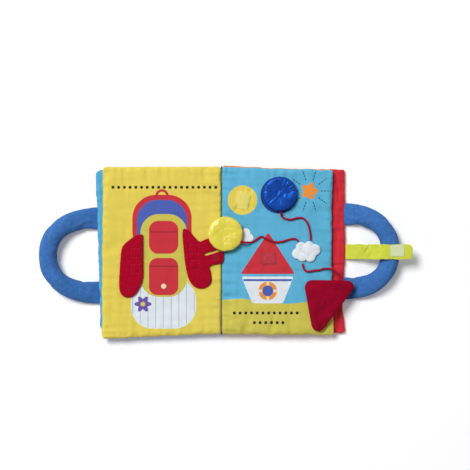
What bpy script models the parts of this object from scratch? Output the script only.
"""Baby activity book: a soft cloth book of four padded leaves that lies open on a table.

X runs to the reader's right, Y up the page and Z up from the table, in metres. The origin lies on the
table under the middle of the spine. Two covers lie on the table and carry one stuffed handle each, two
page leaves lie on the covers, and play pieces are sewn, tethered or patched to the pages.
"""
import math

import bmesh
import bpy
from mathutils import Matrix, Vector
from mathutils.geometry import intersect_point_line

MM = 0.001

# Cloth, thread and the space that pieces keep between them
FABRIC = 0.8 * MM
SEAT_GAP = 0.3 * MM
PATCH_THICKNESS = 0.6 * MM
CUT_OVERRUN = 2 * MM

# Covers and page leaves
COVER_WIDTH = 175 * MM
COVER_HEIGHT = 232 * MM
COVER_CORNER = 9 * MM
FIRST_LEAF_WIDTH = 168 * MM
SECOND_LEAF_WIDTH = 157 * MM
LEAF_OVERHANG = 2 * MM
LEAF_CORNER = 6 * MM
PAD_THICKNESS = 9.2 * MM
EDGE_ROUNDING = 12 * MM
SIDE_DRAW_IN = 1.3 * MM
PLAY_DEPTH = 9.8 * MM

# Spine
SPINE_GAP = 3 * MM
TAPE_WIDTH = 5.6 * MM
TAPE_THICKNESS = 1.2 * MM
SEAM_THICKNESS = 2.2 * MM

# Stuffed handles
HANDLE_TUBE = 25 * MM
LEFT_HANDLE_REACH = 68 * MM
RIGHT_HANDLE_REACH = 61.5 * MM
HANDLE_HALF_SPAN = 52.3 * MM
HANDLE_ROOT_WIDTH = 31 * MM
HANDLE_ROOT_HEIGHT = 4.4 * MM
LEFT_HANDLE_Y = -7.1 * MM
RIGHT_HANDLE_Y = -1.2 * MM

# Closing strap
STRAP_WIDTH = 20.6 * MM
STRAP_THICKNESS = 2 * MM
STRAP_Y = -1.8 * MM
STRAP_RUN = 49.2 * MM
STRAP_TIP_LENGTH = 42 * MM
STRAP_CORNER = 6 * MM
STRAP_PATCH_LENGTH = 18.2 * MM
STRAP_PATCH_WIDTH = 16.6 * MM
STRAP_PATCH_FROM_CREASE = 11.4 * MM
CLOSURE_PATCH_LENGTH = 20 * MM
CLOSURE_PATCH_WIDTH = 24 * MM
CLOSURE_PATCH_MARGIN = 2 * MM

# Velour flaps on the first leaf
FLAP_THICKNESS = 3 * MM
FLAP_EDGE = 0.9 * MM
LEFT_FLAP_WIDTH = 34 * MM
LEFT_FLAP_HEIGHT = 87.5 * MM
LEFT_FLAP_SEWN_X = -109.5 * MM
LEFT_FLAP_TOP_Y = 21.7 * MM
LEFT_FLAP_PATCH = 13 * MM
RIGHT_FLAP_WIDTH = 59 * MM
RIGHT_FLAP_HEIGHT = 81 * MM
RIGHT_FLAP_SEWN_X = -54.7 * MM
RIGHT_FLAP_TOP_Y = 28.3 * MM
RIGHT_FLAP_PATCH = 11 * MM

# Play pieces of the second leaf
DISC_RADIUS = 24.4 * MM
DISC_THICKNESS = 7 * MM
DISC_ROUNDING = 10 * MM
DISC_PATCH = 16 * MM
YELLOW_DISC_X = 5.5 * MM
YELLOW_DISC_Y = 23.5 * MM
BLUE_DISC_X = 82.5 * MM
BLUE_DISC_Y = 79.1 * MM
TRIANGLE_WIDTH = 78.4 * MM
TRIANGLE_HEIGHT = 86.5 * MM
TRIANGLE_CORNER = 7.5 * MM
TRIANGLE_LEFT_X = 114.5 * MM
TRIANGLE_TOP_Y = -41.3 * MM
TRIANGLE_ROUNDING = 9 * MM
TRIANGLE_PATCH = 14 * MM
CLOUD_WIDTH = 42 * MM
CLOUD_THICKNESS = 3.5 * MM
CLOUD_EDGE = 1.6 * MM
CLOUD_X = 118.3 * MM
CLOUD_Y = -2 * MM
LOOP_PATCH_WIDTH = 18.9 * MM
LOOP_PATCH_HEIGHT = 23.8 * MM
YELLOW_TARGET_X = 29.4 * MM
YELLOW_TARGET_Y = 70 * MM
TARGET_PATCH_TURN = math.radians(-5)
ROOF_PATCH_WIDTH = 19.6 * MM
ROOF_PATCH_HEIGHT = 16.8 * MM
ROOF_PATCH_X = 65.9 * MM
ROOF_PATCH_Y = -11.2 * MM
PATCH_CORNER = 1.5 * MM

# Cords
CORD_DIAMETER = 2.8 * MM
KNOT_DIAMETER = 3.6 * MM
CORD_END_GAP = 0.5 * MM
CORD_STEP_SHARE = 2.4

# How a pad rises from its seam to its crown, as shares of its rounding and of its half thickness
LEAF_RUN_SHARES = (0.0, 0.13, 0.42, 1.0)
LEAF_RISE_SHARES = (0.0, 0.52, 0.86, 1.0)
SMALL_PAD_RUN_SHARES = (0.0, 0.28, 1.0)
SMALL_PAD_RISE_SHARES = (0.0, 0.70, 1.0)
TIGHTEST_TURN_SHARE = 0.25
LIP_SHARE = 1 / 3

# Flap outlines, counter-clockwise from the top of the sewn edge, as shares of width and height.
# The left flap runs to the left of its sewn edge and the right flap to the right.
LEFT_FLAP_SHARES = (
    (0.02, 0.0), (0.31, 0.0), (0.52, 0.06), (0.80, 0.15), (0.92, 0.26), (0.99, 0.62),
    (0.97, 0.90), (0.74, 0.995), (0.45, 0.965), (0.17, 0.80), (0.01, 0.60), (0.01, 0.30),
)
LEFT_FLAP_PATCH_SHARES = ((0.32, 0.29), (0.32, 0.54))
RIGHT_FLAP_SHARES = (
    (0.006, 0.0), (0.045, 0.37), (0.09, 0.58), (0.17, 0.82), (0.30, 0.965), (0.46, 0.995),
    (0.62, 0.93), (0.68, 0.86), (0.655, 0.72), (0.62, 0.62), (0.92, 0.565), (0.985, 0.51),
    (0.965, 0.385), (0.90, 0.362), (0.56, 0.435), (0.53, 0.405), (0.87, 0.325), (0.92, 0.27),
    (0.89, 0.135), (0.82, 0.105), (0.60, 0.155), (0.40, 0.195), (0.27, 0.095), (0.15, 0.0),
)
RIGHT_FLAP_PATCH_SHARES = ((0.745, 0.225), (0.80, 0.475))
RIGHT_FLAP_SEWN_LEAN = math.radians(6.7)

# Tip of the triangle along its width, its patch, and the lobes of the cloud: place and radius, as
# shares of the cloud's width
TRIANGLE_TIP_SHARE = 0.20
TRIANGLE_PATCH_SHARES = (0.40, 0.31)
CLOUD_LOBE_SHARES = (
    (-0.30, -0.06, 0.185), (-0.17, 0.16, 0.185), (0.11, 0.23, 0.15), (0.30, 0.07, 0.20),
    (0.15, -0.17, 0.18), (-0.13, -0.17, 0.165), (0.0, 0.0, 0.24),
)

# Cord routes, chosen by hand on the page: X, Y and lift above where the cord lies, in millimetres.
# The ends at the pads and at the cloud are worked out below.
YELLOW_CORD_ROUTE = (
    (34.6, 11.2, 5.9), (37.6, 11.0, 3.6), (41.0, 11.3, 0.9), (45.2, 12.8, 0.0), (51.4, 17.1, 0.0),
    (55.9, 19.3, 0.0), (62.0, 16.4, 0.0), (69.2, 13.6, 0.0), (76.3, 11.8, 0.0), (85.3, 12.6, 0.0),
    (94.2, 15.3, 0.0), (100.6, 16.4, 0.0), (105.0, 15.4, 0.0),
)
BLUE_CORD_ROUTE = (
    (82.9, 51.2, 3.0), (84.0, 48.6, 0.8), (86.9, 45.6, 0.0), (91.8, 43.8, 0.0), (97.9, 43.4, 0.0),
    (105.6, 45.4, 0.0), (113.1, 45.4, 0.0), (118.4, 41.2, 0.0), (121.4, 35.8, 0.0),
    (123.9, 25.9, 0.0), (124.6, 18.0, 0.0),
)
TRIANGLE_CORD_ROUTE = (
    (114.0, -21.6, 0.0), (115.6, -26.0, 0.0), (118.6, -28.9, 0.0), (123.1, -29.4, 0.0),
    (129.5, -28.0, 0.0), (136.0, -27.6, 0.0), (141.7, -25.8, 0.0), (148.0, -25.1, 0.0),
    (153.0, -25.8, 0.2), (157.6, -27.9, 0.8), (162.0, -31.4, 1.8), (165.4, -36.3, 2.8),
)

# How full a handle's shoulders are: 2 is an ellipse and more is squarer. It reaches its full thickness
# before its middle, where this share times the sine of the way round passes 1
HANDLE_FULLNESS = 2.35
HANDLE_SWELL_SHARE = 1.25

# Where the triangle's cord meets its top edge, as a share of its width, and how far the yellow disc's
# cord swings left of the cloud's middle, as a share of the cloud's width
TRIANGLE_CORD_SHARE = 0.66
SWING_SHARE = 0.27

# Faces around the round pieces
CORNER_STEPS = 4
SIDE_POINTS = 2
PATCH_CORNER_STEPS = 2
DISC_SIDES = 22
HANDLE_SECTIONS = 16
HANDLE_SIDES = 12
CLOUD_SIDES = 32
KNOT_SIDES = 8
KNOT_RINGS = 6
STRAP_END_STEPS = 4
SMOOTH_STEPS = 2
CORD_BEVEL_STEPS = 2
FINE_STEPS = 12
SHARP_EDGE = math.radians(50)

# Heights and places that follow from the sizes above
PITCH = PAD_THICKNESS + SEAT_GAP
PAGE_SURFACE = PITCH + PAD_THICKNESS
TURN_HEIGHT = PAGE_SURFACE + PLAY_DEPTH
INNER_EDGE = SPINE_GAP / 2
LEAF_HEIGHT = COVER_HEIGHT + 2 * LEAF_OVERHANG
LYING = PAGE_SURFACE + SEAT_GAP
ON_PATCH = LYING + PATCH_THICKNESS + SEAT_GAP
COVER_MIDDLE = PAD_THICKNESS / 2
LEAF_MIDDLE = PITCH + PAD_THICKNESS / 2
ROOT_X = COVER_WIDTH + SEAT_GAP
FLAP_TOP = LYING + FLAP_THICKNESS
FLAP_PATCH_TOP = FLAP_TOP + SEAT_GAP + PATCH_THICKNESS
LEFT_FLAP_AXIS_Z = (ON_PATCH + FLAP_THICKNESS + LYING) / 2
RIGHT_FLAP_AXIS_Z = FLAP_PATCH_TOP + SEAT_GAP / 2
YELLOW_DISC_BASE = FLAP_PATCH_TOP + SEAT_GAP
YELLOW_DISC_MIDDLE = YELLOW_DISC_BASE + DISC_THICKNESS / 2
BLUE_DISC_BASE = ON_PATCH + PATCH_THICKNESS + SEAT_GAP
BLUE_DISC_MIDDLE = BLUE_DISC_BASE + DISC_THICKNESS / 2
TRIANGLE_MIDDLE = ON_PATCH + DISC_THICKNESS / 2
TETHER_X = YELLOW_DISC_X + DISC_RADIUS
BLUE_DISC_EDGE_Y = BLUE_DISC_Y - DISC_RADIUS
CORD_HEIGHT = LYING + CORD_DIAMETER / 2
STRAP_START_Z = COVER_MIDDLE + STRAP_THICKNESS / 2
CREASE_X = ROOT_X + STRAP_RUN
CREASE_Z = HANDLE_TUBE + SEAT_GAP + STRAP_THICKNESS
KNOT_Y = YELLOW_DISC_Y - DISC_RADIUS / 2
LAID_OVER_MIDDLE = CREASE_Z + SEAT_GAP + DISC_THICKNESS / 2
SWING_X = CLOUD_X - SWING_SHARE * CLOUD_WIDTH
SWING_Z = (YELLOW_DISC_MIDDLE + LAID_OVER_MIDDLE) / 2


def clear_scene():
    for thing in list(bpy.data.objects):
        bpy.data.objects.remove(thing, do_unlink=True)


def linear(value):
    """One sRGB channel from 0 to 1 as scene-linear light."""
    if value <= 0.04045:
        return value / 12.92
    return ((value + 0.055) / 1.055) ** 2.4


def cloth(name, red, green, blue, roughness):
    """A Principled material from an sRGB colour and a roughness."""
    made = bpy.data.materials.new(name)
    made.use_nodes = True
    shader = made.node_tree.nodes["Principled BSDF"]
    shader.inputs["Base Color"].default_value = (linear(red), linear(green), linear(blue), 1)
    shader.inputs["Roughness"].default_value = roughness
    shader.inputs["Metallic"].default_value = 0
    return made


def body(name, pivot, parent=None):
    """An empty on a joint's axis, which the pieces that turn with it hang from."""
    empty = bpy.data.objects.new(name, None)
    bpy.context.collection.objects.link(empty)
    empty.location = Vector(pivot)
    if parent is not None:
        empty.parent = parent
        empty.location = Vector(pivot) - Vector(parent["pivot"])
    empty["pivot"] = pivot
    return empty


def add_piece(name, mesh_builder, carrier, finish):
    """Closes a bmesh that was built in the book's frame and hangs it from its body's empty."""
    bmesh.ops.recalc_face_normals(mesh_builder, faces=mesh_builder.faces)
    mesh = bpy.data.meshes.new(name)
    mesh_builder.to_mesh(mesh)
    mesh_builder.free()
    mesh.transform(Matrix.Translation(-Vector(carrier["pivot"])))
    mesh.shade_smooth()
    mesh.set_sharp_from_angle(angle=SHARP_EDGE)
    mesh.materials.append(finish)
    piece = bpy.data.objects.new(name, mesh)
    bpy.context.collection.objects.link(piece)
    piece.parent = carrier
    return piece


def add_band(mesh_builder, lower, upper, turned):
    """Faces between two rings. Their diagonals run the other way where turned is true."""
    count = len(lower)
    for i in range(count):
        j = (i + 1) % count
        if turned:
            mesh_builder.faces.new((lower[j], upper[j], upper[i], lower[i]))
        else:
            mesh_builder.faces.new((lower[i], lower[j], upper[j], upper[i]))


def loft(rings, turned_bands=0):
    """A closed skin through rings with the same number of points, capped at both ends.

    The first turned_bands bands have turned diagonals, so that a skin and the filling under it, whose
    rings run the other way, are divided alike and keep their gap.
    """
    mesh_builder = bmesh.new()
    rows = [[mesh_builder.verts.new(point) for point in ring] for ring in rings]
    for i, (lower, upper) in enumerate(zip(rows, rows[1:])):
        add_band(mesh_builder, lower, upper, i < turned_bands)
    mesh_builder.faces.new(list(reversed(rows[0])))
    mesh_builder.faces.new(rows[-1])
    return mesh_builder


def at_height(ring, height):
    return [(point[0], point[1], height) for point in ring]


def corners_moved_in(corners, inset):
    """The corners of a convex outline, counter-clockwise, after every side moves in by inset."""
    moved = []
    for i, corner in enumerate(corners):
        here = Vector(corner)
        arriving = (here - Vector(corners[i - 1])).normalized()
        leaving = (Vector(corners[(i + 1) % len(corners)]) - here).normalized()
        inward = Vector((-arriving.y, arriving.x))
        bisector = (inward + Vector((-leaving.y, leaving.x))).normalized()
        moved.append(here + bisector * (inset / bisector.dot(inward)))
    return moved


def rounded_outline(corners, radius, inset, steps, side_points=0, draw_in=0.0):
    """A convex outline with round corners. Its sides draw in between the corners by draw_in."""
    turn = max(radius - inset, radius * TIGHTEST_TURN_SHARE)
    centres = corners_moved_in(corners, inset + turn)
    arcs = []
    for i, centre in enumerate(centres):
        arriving = centre - centres[i - 1]
        leaving = centres[(i + 1) % len(centres)] - centre
        start = math.atan2(-arriving.x, arriving.y)
        end = math.atan2(-leaving.x, leaving.y)
        sweep = (end - start) % math.tau
        angles = [start + sweep * k / steps for k in range(steps + 1)]
        arcs.append([centre + turn * Vector((math.cos(angle), math.sin(angle))) for angle in angles])
    ring = []
    for i, arc in enumerate(arcs):
        ring.extend(arc)
        first, last = arc[-1], arcs[(i + 1) % len(arcs)][0]
        along = (last - first).normalized()
        inward = Vector((-along.y, along.x))
        for k in range(1, side_points + 1):
            share = k / (side_points + 1)
            bow = draw_in * 4 * share * (1 - share)
            ring.append(first.lerp(last, share) + inward * bow)
    return ring


def rectangle(x, y, length, width):
    """The corners of a rectangle about (x, y), counter-clockwise."""
    half_x, half_y = length / 2, width / 2
    signs = ((-1, -1), (1, -1), (1, 1), (-1, 1))
    return [(x + half_x * right, y + half_y * up) for right, up in signs]


def circle(x, y, radius, sides):
    angles = [math.tau * i / sides for i in range(sides)]
    return [Vector((x, y)) + radius * Vector((math.cos(angle), math.sin(angle))) for angle in angles]


def pad_side(outline, rounding, half_height, middle, side, depth, seam, run_shares, rise_shares):
    """Rings from a pad's seam to its crown, on the upper side (1) or the lower (-1).

    outline(inset) gives the seam's ring moved in, and depth is how far this skin lies inside the pad.
    """
    rings = []
    for run, rise in zip(run_shares, rise_shares):
        inset = depth + run * (rounding - depth)
        height = seam + rise * (half_height - depth - seam)
        rings.append(at_height(outline(inset), middle + side * height))
    return rings


def pad_skin(outline, rounding, half_height, middle, side, shares):
    """One cloth face of a pad: an outer and an inner skin that meet at the seam."""
    outer = pad_side(outline, rounding, half_height, middle, side, 0.0, SEAT_GAP / 2, *shares)
    inner = pad_side(outline, rounding, half_height, middle, side, FABRIC, SEAT_GAP / 2, *shares)
    return loft(list(reversed(outer)) + inner, len(outer) - 1)


def pad_filling(outline, rounding, half_height, middle, shares):
    """The soft filling between a pad's two faces."""
    depth = FABRIC + SEAT_GAP
    lower = pad_side(outline, rounding, half_height, middle, -1, depth, 0.0, *shares)
    upper = pad_side(outline, rounding, half_height, middle, 1, depth, 0.0, *shares)
    return loft(list(reversed(lower)) + upper[1:], len(lower) - 1)


LEAF_SHARES = (LEAF_RUN_SHARES, LEAF_RISE_SHARES)
SMALL_PAD_SHARES = (SMALL_PAD_RUN_SHARES, SMALL_PAD_RISE_SHARES)


def leaf_outline(side, width, height, corner, draw_in):
    """The seam outline of a leaf on the right (side 1) or left (side -1) of the spine."""
    near, far = sorted((side * INNER_EDGE, side * width))
    corners = [(near, -height / 2), (far, -height / 2), (far, height / 2), (near, height / 2)]

    def outline(inset):
        return rounded_outline(corners, corner, inset, CORNER_STEPS, SIDE_POINTS, draw_in)

    return outline


def add_leaf(names, carrier, outline, middle, finishes):
    """A padded leaf: under face, filling and upper face."""
    under_name, filling_name, upper_name = names
    under_finish, upper_finish = finishes
    half = PAD_THICKNESS / 2
    under = pad_skin(outline, EDGE_ROUNDING, half, middle, -1, LEAF_SHARES)
    filling = pad_filling(outline, EDGE_ROUNDING, half, middle, LEAF_SHARES)
    upper = pad_skin(outline, EDGE_ROUNDING, half, middle, 1, LEAF_SHARES)
    made = add_piece(under_name, under, carrier, under_finish)
    add_piece(filling_name, filling, carrier, CLOTHS["filling"])
    add_piece(upper_name, upper, carrier, upper_finish)
    return made


def add_small_pad(prefix, carrier, outline, rounding, middle, patch, finish):
    """A stuffed play piece: back, filling, front and the hook patch under it."""
    half = DISC_THICKNESS / 2
    back = pad_skin(outline, rounding, half, middle, -1, SMALL_PAD_SHARES)
    filling = pad_filling(outline, rounding, half, middle, SMALL_PAD_SHARES)
    front = pad_skin(outline, rounding, half, middle, 1, SMALL_PAD_SHARES)
    add_piece(prefix + "_back", back, carrier, finish)
    add_piece(prefix + "_filling", filling, carrier, CLOTHS["filling"])
    add_piece(prefix + "_front", front, carrier, finish)
    x, y, size = patch
    base = middle - half - SEAT_GAP - PATCH_THICKNESS
    add_patch(prefix + "_hook_patch", carrier, (x, y), (size, size), base, finish)


def add_patch(name, carrier, centre, size, base, finish, turn=0.0):
    """A flat rectangle of hook or loop tape with slightly rounded corners."""
    flat = rounded_outline(rectangle(0, 0, *size), PATCH_CORNER, 0.0, PATCH_CORNER_STEPS)
    spin = Matrix.Rotation(turn, 2)
    ring = [spin @ point + Vector(centre) for point in flat]
    rings = [at_height(ring, base), at_height(ring, base + PATCH_THICKNESS)]
    return add_piece(name, loft(rings), carrier, finish)


def smooth_ring(points, steps):
    """A closed Catmull-Rom curve through points, with steps samples to each span."""
    ring = []
    count = len(points)
    for i in range(count):
        before, start = Vector(points[i - 1]), Vector(points[i])
        end, after = Vector(points[(i + 1) % count]), Vector(points[(i + 2) % count])
        for k in range(steps):
            ring.append(catmull_rom(before, start, end, after, k / steps))
    return ring


def catmull_rom(before, start, end, after, t):
    return 0.5 * (
        2 * start
        + (end - before) * t
        + (2 * before - 5 * start + 4 * end - after) * t ** 2
        + (3 * start - before - 3 * end + after) * t ** 3
    )


def ring_moved_in(ring, inset):
    """A counter-clockwise ring with each point moved to its left-hand side by inset."""
    moved = []
    for i, point in enumerate(ring):
        along = (ring[(i + 1) % len(ring)] - ring[i - 1]).normalized()
        moved.append(point + Vector((-along.y, along.x)) * inset)
    return moved


def soft_plate(ring, base, thickness, edge):
    """A thin soft piece with its edges rolled over."""
    inner = ring_moved_in(ring, edge)
    lip = min(edge, thickness * LIP_SHARE)
    return loft([
        at_height(inner, base),
        at_height(ring, base + lip),
        at_height(ring, base + thickness - lip),
        at_height(inner, base + thickness),
    ])


def add_spine(spine):
    """The tape under the spine, and the seam that stands in the gutter between the leaves."""
    tape = rectangle(0, 0, TAPE_WIDTH, COVER_HEIGHT)
    rings = [at_height(tape, 0), at_height(tape, TAPE_THICKNESS)]
    add_piece("spine_tape", loft(rings), spine, CLOTHS["red"])
    seam = rectangle(0, 0, SEAM_THICKNESS, LEAF_HEIGHT)
    rings = [at_height(seam, TAPE_THICKNESS + SEAT_GAP), at_height(seam, LEAF_MIDDLE)]
    add_piece("gutter_seam", loft(rings), spine, CLOTHS["blue"])


def power_of(value, exponent):
    """A power that keeps the sign of its value."""
    return math.copysign(abs(value) ** exponent, value)


def handle_section(share, side, reach, middle_y, depth, sides):
    """One ring of a handle, share of the way from its upper root to its lower, depth inside its skin.

    Its middle line is a superellipse, which is fuller at the shoulders than an ellipse.
    """
    turn = math.pi * share
    rise, run = max(math.sin(turn), 0.0), math.cos(turn)
    swell = min(rise * HANDLE_SWELL_SHARE, 1.0)
    width = HANDLE_ROOT_WIDTH + (HANDLE_TUBE - HANDLE_ROOT_WIDTH) * swell
    height = HANDLE_ROOT_HEIGHT + (HANDLE_TUBE - HANDLE_ROOT_HEIGHT) * swell
    centre_z = COVER_MIDDLE + (HANDLE_TUBE / 2 - COVER_MIDDLE) * swell
    bend = 2 / HANDLE_FULLNESS
    centre = Vector((reach * rise ** bend, HANDLE_HALF_SPAN * power_of(run, bend), 0))
    along = Vector((reach * power_of(run, 2 - bend), -HANDLE_HALF_SPAN * rise ** (2 - bend), 0)).normalized()
    across = Vector((along.y, -along.x, 0))
    ring = []
    for i in range(sides):
        angle = math.tau * i / sides
        out = (width / 2 - depth) * math.cos(angle)
        up = (height / 2 - depth) * math.sin(angle)
        point = centre + across * out + Vector((0, 0, centre_z + up))
        ring.append(Vector((side * (ROOT_X + point.x), middle_y + point.y, point.z)))
    return ring


def tube_of(outer, inner):
    """A sleeve that is open at both ends, from matching outer and inner rings."""
    mesh_builder = bmesh.new()
    loops = outer + list(reversed(inner))
    rows = [[mesh_builder.verts.new(point) for point in ring] for ring in loops]
    for i, (lower, upper) in enumerate(zip(rows, rows[1:] + rows[:1])):
        add_band(mesh_builder, lower, upper, i >= len(outer))
    return mesh_builder


def add_handle(prefix, carrier, side, reach, middle_y, finish):
    shares = [i / (HANDLE_SECTIONS - 1) for i in range(HANDLE_SECTIONS)]
    place = (side, reach, middle_y)
    outer = [handle_section(share, *place, 0.0, HANDLE_SIDES) for share in shares]
    inner = [handle_section(share, *place, FABRIC, HANDLE_SIDES) for share in shares]
    core = [handle_section(share, *place, FABRIC + SEAT_GAP, HANDLE_SIDES) for share in shares]
    add_piece(prefix + "_sleeve", tube_of(outer, inner), carrier, finish)
    add_piece(prefix + "_stuffing", loft(core), carrier, CLOTHS["filling"])


def strap_station(x, z_top, z_low, x_low, half_width):
    """A cross-section of the strap, from its upper face at x to its under face at x_low."""
    return [
        Vector((x, STRAP_Y + half_width, z_top)),
        Vector((x, STRAP_Y - half_width, z_top)),
        Vector((x_low, STRAP_Y - half_width, z_low)),
        Vector((x_low, STRAP_Y + half_width, z_low)),
    ]


def add_strap(root_body, tip_body):
    """The closing strap: a root that climbs from the cover's edge, and a tip that lies on the handle."""
    half = STRAP_WIDTH / 2
    slope = math.atan2(CREASE_Z - STRAP_START_Z, STRAP_RUN)
    down = Vector((math.sin(slope), -math.cos(slope))) * STRAP_THICKNESS
    mitre = STRAP_THICKNESS * math.tan(slope / 2)
    near = SEAT_GAP / 2
    end_x = CREASE_X - near
    end_z = CREASE_Z - near * math.tan(slope)
    root = [
        strap_station(ROOT_X, STRAP_START_Z, STRAP_START_Z + down.y, ROOT_X + down.x, half),
        strap_station(end_x, end_z, CREASE_Z - STRAP_THICKNESS, end_x + mitre, half),
    ]
    add_piece("strap_root", loft(root), root_body, CLOTHS["lime"])
    start_x = CREASE_X + near
    low_z = CREASE_Z - STRAP_THICKNESS
    tip = [strap_station(start_x, CREASE_Z, low_z, start_x + mitre, half)]
    corner_x = CREASE_X + STRAP_TIP_LENGTH - STRAP_CORNER
    for k in range(STRAP_END_STEPS + 1):
        turn = math.pi / 2 * k / STRAP_END_STEPS
        x = corner_x + STRAP_CORNER * math.sin(turn)
        tip.append(strap_station(x, CREASE_Z, low_z, x, half - STRAP_CORNER * (1 - math.cos(turn))))
    add_piece("strap_tip", loft(tip), tip_body, CLOTHS["lime"])
    patch_x = CREASE_X + STRAP_PATCH_FROM_CREASE + STRAP_PATCH_LENGTH / 2
    size = (STRAP_PATCH_LENGTH, STRAP_PATCH_WIDTH)
    add_patch("strap_hook_patch", tip_body, (patch_x, STRAP_Y), size, CREASE_Z + SEAT_GAP, CLOTHS["hook"])


def add_closure_patch(carrier, panel):
    """The loop patch outside the front cover, let in flush so that the cover still lies flat."""
    length, width = CLOSURE_PATCH_LENGTH, CLOSURE_PATCH_WIDTH
    x = -(COVER_WIDTH - EDGE_ROUNDING - CLOSURE_PATCH_MARGIN - length / 2)
    window = rectangle(x, STRAP_Y, length + 2 * SEAT_GAP, width + 2 * SEAT_GAP)
    rings = [at_height(window, -CUT_OVERRUN), at_height(window, FABRIC + CUT_OVERRUN)]
    cutter = add_piece("closure_window_cutter", loft(rings), carrier, CLOTHS["hook"])
    cutter.hide_render = True
    cutter.display_type = "WIRE"
    cut = panel.modifiers.new("closure window", "BOOLEAN")
    cut.operation = "DIFFERENCE"
    cut.solver = "EXACT"
    cut.object = cutter
    add_patch("front_cover_closure_patch", carrier, (x, STRAP_Y), (length, width), 0.0, CLOTHS["hook"])


def add_left_flap(carrier):
    """The left velour flap, with two loop patches under it."""
    ring = smooth_ring([
        (LEFT_FLAP_SEWN_X - u * LEFT_FLAP_WIDTH, LEFT_FLAP_TOP_Y - v * LEFT_FLAP_HEIGHT)
        for u, v in LEFT_FLAP_SHARES
    ], SMOOTH_STEPS)
    add_piece("left_flap", soft_plate(ring, ON_PATCH, FLAP_THICKNESS, FLAP_EDGE), carrier, CLOTHS["crimson"])
    for label, (u, v) in zip(("upper", "lower"), LEFT_FLAP_PATCH_SHARES):
        place = (LEFT_FLAP_SEWN_X - u * LEFT_FLAP_WIDTH, LEFT_FLAP_TOP_Y - v * LEFT_FLAP_HEIGHT)
        size = (LEFT_FLAP_PATCH, LEFT_FLAP_PATCH)
        add_patch("left_flap_patch_" + label, carrier, place, size, LYING, CLOTHS["crimson"])


def add_right_flap(carrier):
    """The right velour flap, with two tabs that carry hook patches on their upper side."""
    ring = smooth_ring([
        (RIGHT_FLAP_SEWN_X + u * RIGHT_FLAP_WIDTH, RIGHT_FLAP_TOP_Y - v * RIGHT_FLAP_HEIGHT)
        for u, v in RIGHT_FLAP_SHARES
    ], SMOOTH_STEPS)
    add_piece("right_flap", soft_plate(ring, LYING, FLAP_THICKNESS, FLAP_EDGE), carrier, CLOTHS["crimson"])
    for label, (u, v) in zip(("upper", "lower"), RIGHT_FLAP_PATCH_SHARES):
        place = (RIGHT_FLAP_SEWN_X + u * RIGHT_FLAP_WIDTH, RIGHT_FLAP_TOP_Y - v * RIGHT_FLAP_HEIGHT)
        size = (RIGHT_FLAP_PATCH, RIGHT_FLAP_PATCH)
        base = FLAP_TOP + SEAT_GAP
        turn = 2 * RIGHT_FLAP_SEWN_LEAN
        add_patch("right_flap_patch_" + label, carrier, place, size, base, CLOTHS["crimson"], turn)


def cloud_ring(inset):
    """The outline of the overlapping round lobes of the cloud, seen from its middle."""
    ring = []
    for i in range(CLOUD_SIDES):
        angle = math.tau * i / CLOUD_SIDES
        ray = Vector((math.cos(angle), math.sin(angle)))
        reach = 0.0
        for x, y, radius in CLOUD_LOBE_SHARES:
            centre = Vector((x, y)) * CLOUD_WIDTH
            along = centre.dot(ray)
            aside = centre.length_squared - along ** 2
            room = (radius * CLOUD_WIDTH) ** 2 - aside
            if room > 0:
                reach = max(reach, along + math.sqrt(room))
        ring.append(Vector((CLOUD_X, CLOUD_Y)) + ray * (reach - inset))
    return ring


def cloud_edge_near(x, y):
    """The place just off the cloud's outline, at its nearest point to (x, y), where a cord meets it."""
    place = Vector((x, y))
    ring = cloud_ring(0.0)
    feet = []
    for start, end in zip(ring, ring[1:] + ring[:1]):
        foot, share = intersect_point_line(place, start, end)
        feet.append(foot.xy if 0 <= share <= 1 else start)
    nearest = min(feet, key=lambda foot: (place - foot).length)
    return nearest + (place - nearest).normalized() * CORD_END_GAP


def add_cloud(carrier):
    """The padded white cloud that the cords are sewn into."""
    lip = CLOUD_THICKNESS * LIP_SHARE
    rings = [
        at_height(cloud_ring(0.0), LYING),
        at_height(cloud_ring(0.0), LYING + CLOUD_THICKNESS - lip),
        at_height(cloud_ring(CLOUD_EDGE), LYING + CLOUD_THICKNESS),
    ]
    add_piece("cloud_applique", loft(rings), carrier, CLOTHS["white"])


def smooth_route(route, step):
    """Points a step apart along a smooth curve through the route's own points."""
    fine = []
    padded = [2 * route[0] - route[1]] + route + [2 * route[-1] - route[-2]]
    for before, start, end, after in zip(padded, padded[1:], padded[2:], padded[3:]):
        for k in range(FINE_STEPS):
            fine.append(catmull_rom(before, start, end, after, k / FINE_STEPS))
    fine.append(route[-1])
    total = sum((b - a).length for a, b in zip(fine, fine[1:]))
    count = max(round(total / step), 2)
    points, walked, target = [fine[0]], 0.0, total / count
    for a, b in zip(fine, fine[1:]):
        length = (b - a).length
        while length > 0 and walked + length >= target and len(points) < count:
            points.append(a.lerp(b, (target - walked) / length))
            target += total / count
        walked += length
    points.append(fine[-1])
    return points


def add_cord(name, carrier, route, finish):
    """A round cord as a bevelled curve through its route."""
    points = smooth_route(route, CORD_STEP_SHARE * CORD_DIAMETER)
    curve = bpy.data.curves.new(name, "CURVE")
    curve.dimensions = "3D"
    curve.bevel_depth = CORD_DIAMETER / 2
    curve.bevel_resolution = CORD_BEVEL_STEPS
    curve.use_fill_caps = True
    spline = curve.splines.new("POLY")
    spline.points.add(len(points) - 1)
    for place, point in zip(spline.points, points):
        place.co = (*(point - Vector(carrier["pivot"])), 1)
    curve.materials.append(finish)
    piece = bpy.data.objects.new(name, curve)
    bpy.context.collection.objects.link(piece)
    piece.parent = carrier


def on_page(route):
    return [Vector((x * MM, y * MM, CORD_HEIGHT + lift * MM)) for x, y, lift in route]


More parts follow.
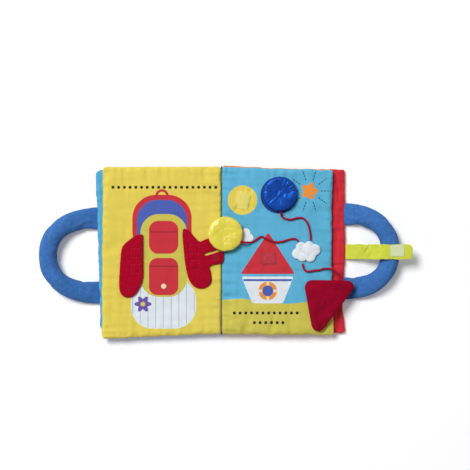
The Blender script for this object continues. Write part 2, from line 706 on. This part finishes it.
def add_cords(leaf, swing, tether):
    """The three cords, each from its pad's edge to the cloud, and the knot at the yellow disc."""
    tether_end = Vector((TETHER_X + KNOT_DIAMETER / 2 + CORD_END_GAP, KNOT_Y, YELLOW_DISC_MIDDLE))
    cloud_end = cloud_edge_near(*on_page(YELLOW_CORD_ROUTE)[-1].xy)
    route = [tether_end] + on_page(YELLOW_CORD_ROUTE) + [Vector((*cloud_end, CORD_HEIGHT))]
    add_cord("yellow_cord", swing, route, CLOTHS["crimson"])

    disc_end = Vector((BLUE_DISC_X, BLUE_DISC_EDGE_Y - CORD_END_GAP, BLUE_DISC_MIDDLE))
    cloud_end = cloud_edge_near(*on_page(BLUE_CORD_ROUTE)[-1].xy)
    route = [disc_end] + on_page(BLUE_CORD_ROUTE) + [Vector((*cloud_end, CORD_HEIGHT))]
    add_cord("blue_cord", leaf, route, CLOTHS["crimson"])

    cloud_end = cloud_edge_near(*on_page(TRIANGLE_CORD_ROUTE)[0].xy)
    triangle_x = TRIANGLE_LEFT_X + TRIANGLE_CORD_SHARE * TRIANGLE_WIDTH
    pad_end = Vector((triangle_x, TRIANGLE_TOP_Y + CORD_END_GAP, TRIANGLE_MIDDLE))
    route = [Vector((*cloud_end, CORD_HEIGHT))] + on_page(TRIANGLE_CORD_ROUTE) + [pad_end]
    add_cord("triangle_cord", leaf, route, CLOTHS["crimson"])

    knot = bmesh.new()
    place = Matrix.Translation((TETHER_X, KNOT_Y, YELLOW_DISC_MIDDLE))
    bmesh.ops.create_uvsphere(
        knot, u_segments=KNOT_SIDES, v_segments=KNOT_RINGS, radius=KNOT_DIAMETER / 2, matrix=place
    )
    add_piece("yellow_cord_knot", knot, tether, CLOTHS["crimson"])


def add_discs(yellow, blue):
    def yellow_outline(inset):
        return circle(YELLOW_DISC_X, YELLOW_DISC_Y, DISC_RADIUS - inset, DISC_SIDES)

    def blue_outline(inset):
        return circle(BLUE_DISC_X, BLUE_DISC_Y, DISC_RADIUS - inset, DISC_SIDES)

    patch = (YELLOW_DISC_X, YELLOW_DISC_Y, DISC_PATCH)
    middle = YELLOW_DISC_MIDDLE
    add_small_pad("yellow_disc", yellow, yellow_outline, DISC_ROUNDING, middle, patch, CLOTHS["shiny_yellow"])
    patch = (BLUE_DISC_X, BLUE_DISC_Y, DISC_PATCH)
    middle = BLUE_DISC_MIDDLE
    add_small_pad("blue_disc", blue, blue_outline, DISC_ROUNDING, middle, patch, CLOTHS["satin_blue"])


def add_triangle(carrier):
    left, top = TRIANGLE_LEFT_X, TRIANGLE_TOP_Y
    corners = [
        (left, top),
        (left + TRIANGLE_TIP_SHARE * TRIANGLE_WIDTH, top - TRIANGLE_HEIGHT),
        (left + TRIANGLE_WIDTH, top),
    ]

    def outline(inset):
        return rounded_outline(corners, TRIANGLE_CORNER, inset, CORNER_STEPS, SIDE_POINTS)

    u, v = TRIANGLE_PATCH_SHARES
    patch = (left + u * TRIANGLE_WIDTH, top - v * TRIANGLE_HEIGHT, TRIANGLE_PATCH)
    add_small_pad("triangle", carrier, outline, TRIANGLE_ROUNDING, TRIANGLE_MIDDLE, patch, CLOTHS["crimson"])


def add_page_patches(carrier):
    """Loop tape on the second leaf, where the play pieces are put back."""
    size = (LOOP_PATCH_WIDTH, LOOP_PATCH_HEIGHT)
    place = (YELLOW_TARGET_X, YELLOW_TARGET_Y)
    finish = CLOTHS["pale_yellow"]
    add_patch("yellow_target_loop_patch", carrier, place, size, LYING, finish, TARGET_PATCH_TURN)
    place = (BLUE_DISC_X, BLUE_DISC_Y)
    add_patch("blue_target_loop_patch", carrier, place, size, LYING, CLOTHS["blue"])
    size = (ROOF_PATCH_WIDTH, ROOF_PATCH_HEIGHT)
    add_patch("roof_loop_patch", carrier, (ROOF_PATCH_X, ROOF_PATCH_Y), size, LYING, CLOTHS["red"])


def build():
    spine = body("spine", (0, 0, 0))
    leaf_axis = (0, 0, TURN_HEIGHT)
    cover_axis = (0, 0, -SEAT_GAP)
    first_leaf = body("first_leaf", leaf_axis, spine)
    second_leaf = body("second_leaf", leaf_axis, spine)
    front_cover = body("front_cover", cover_axis, first_leaf)
    back_cover = body("back_cover", cover_axis, second_leaf)
    left_flap = body("left_flap_turn", (LEFT_FLAP_SEWN_X, LEFT_FLAP_TOP_Y, LEFT_FLAP_AXIS_Z), first_leaf)
    right_flap = body("right_flap_turn", (RIGHT_FLAP_SEWN_X, RIGHT_FLAP_TOP_Y, RIGHT_FLAP_AXIS_Z), first_leaf)
    swing = body("yellow_swing", (SWING_X, KNOT_Y, SWING_Z), second_leaf)
    tether = body("yellow_tether", (TETHER_X, KNOT_Y, YELLOW_DISC_MIDDLE), swing)
    yellow = body("yellow_disc", (TETHER_X, KNOT_Y, YELLOW_DISC_MIDDLE), tether)
    blue = body("blue_disc", (BLUE_DISC_X, BLUE_DISC_EDGE_Y, BLUE_DISC_MIDDLE), second_leaf)
    triangle = body("triangle", (TRIANGLE_LEFT_X, TRIANGLE_TOP_Y, TRIANGLE_MIDDLE), second_leaf)
    strap_root = body("strap_root_turn", (ROOT_X, STRAP_Y, STRAP_START_Z), back_cover)
    strap_tip = body("strap_tip_turn", (CREASE_X, STRAP_Y, CREASE_Z), strap_root)

    add_spine(spine)
    outline = leaf_outline(-1, COVER_WIDTH, COVER_HEIGHT, COVER_CORNER, 0.0)
    names = ("front_cover_outer_panel", "front_cover_filling", "front_cover_inner_panel")
    outer_panel = add_leaf(names, front_cover, outline, COVER_MIDDLE, (CLOTHS["red"], CLOTHS["pale_blue"]))
    add_closure_patch(front_cover, outer_panel)
    outline = leaf_outline(-1, FIRST_LEAF_WIDTH, LEAF_HEIGHT, LEAF_CORNER, SIDE_DRAW_IN)
    names = ("first_leaf_under_panel", "first_leaf_filling", "first_leaf_page_panel")
    add_leaf(names, first_leaf, outline, LEAF_MIDDLE, (CLOTHS["blue"], CLOTHS["yellow"]))
    outline = leaf_outline(1, SECOND_LEAF_WIDTH, LEAF_HEIGHT, LEAF_CORNER, SIDE_DRAW_IN)
    names = ("second_leaf_under_panel", "second_leaf_filling", "second_leaf_page_panel")
    add_leaf(names, second_leaf, outline, LEAF_MIDDLE, (CLOTHS["yellow"], CLOTHS["sky"]))
    outline = leaf_outline(1, COVER_WIDTH, COVER_HEIGHT, COVER_CORNER, 0.0)
    names = ("back_cover_outer_panel", "back_cover_filling", "back_cover_inner_panel")
    add_leaf(names, back_cover, outline, COVER_MIDDLE, (CLOTHS["red"], CLOTHS["red"]))

    add_handle("left_handle", front_cover, -1, LEFT_HANDLE_REACH, LEFT_HANDLE_Y, CLOTHS["blue"])
    add_handle("right_handle", back_cover, 1, RIGHT_HANDLE_REACH, RIGHT_HANDLE_Y, CLOTHS["blue"])
    add_strap(strap_root, strap_tip)
    add_left_flap(left_flap)
    add_right_flap(right_flap)
    add_cloud(second_leaf)
    add_page_patches(second_leaf)
    add_discs(yellow, blue)
    add_triangle(triangle)
    add_cords(second_leaf, swing, tether)


clear_scene()
CLOTHS = {
    "red": cloth("red cotton", 0.80, 0.13, 0.17, 0.80),
    "crimson": cloth("crimson velour", 0.68, 0.02, 0.13, 0.90),
    "blue": cloth("blue fleece", 0.13, 0.38, 0.72, 0.85),
    "pale_blue": cloth("pale blue cotton", 0.55, 0.75, 0.86, 0.80),
    "sky": cloth("sky blue cotton", 0.37, 0.70, 0.86, 0.80),
    "yellow": cloth("yellow cotton", 0.90, 0.82, 0.30, 0.80),
    "pale_yellow": cloth("pale yellow loop tape", 0.93, 0.88, 0.52, 0.90),
    "shiny_yellow": cloth("shiny yellow cloth", 0.92, 0.86, 0.33, 0.35),
    "satin_blue": cloth("royal blue satin", 0.10, 0.16, 0.62, 0.35),
    "lime": cloth("lime cotton", 0.72, 0.80, 0.25, 0.80),
    "white": cloth("white fleece", 0.95, 0.95, 0.96, 0.90),
    "hook": cloth("pale hook tape", 0.90, 0.92, 0.86, 0.50),
    "filling": cloth("polyester filling", 0.93, 0.93, 0.91, 0.95),
}
build()
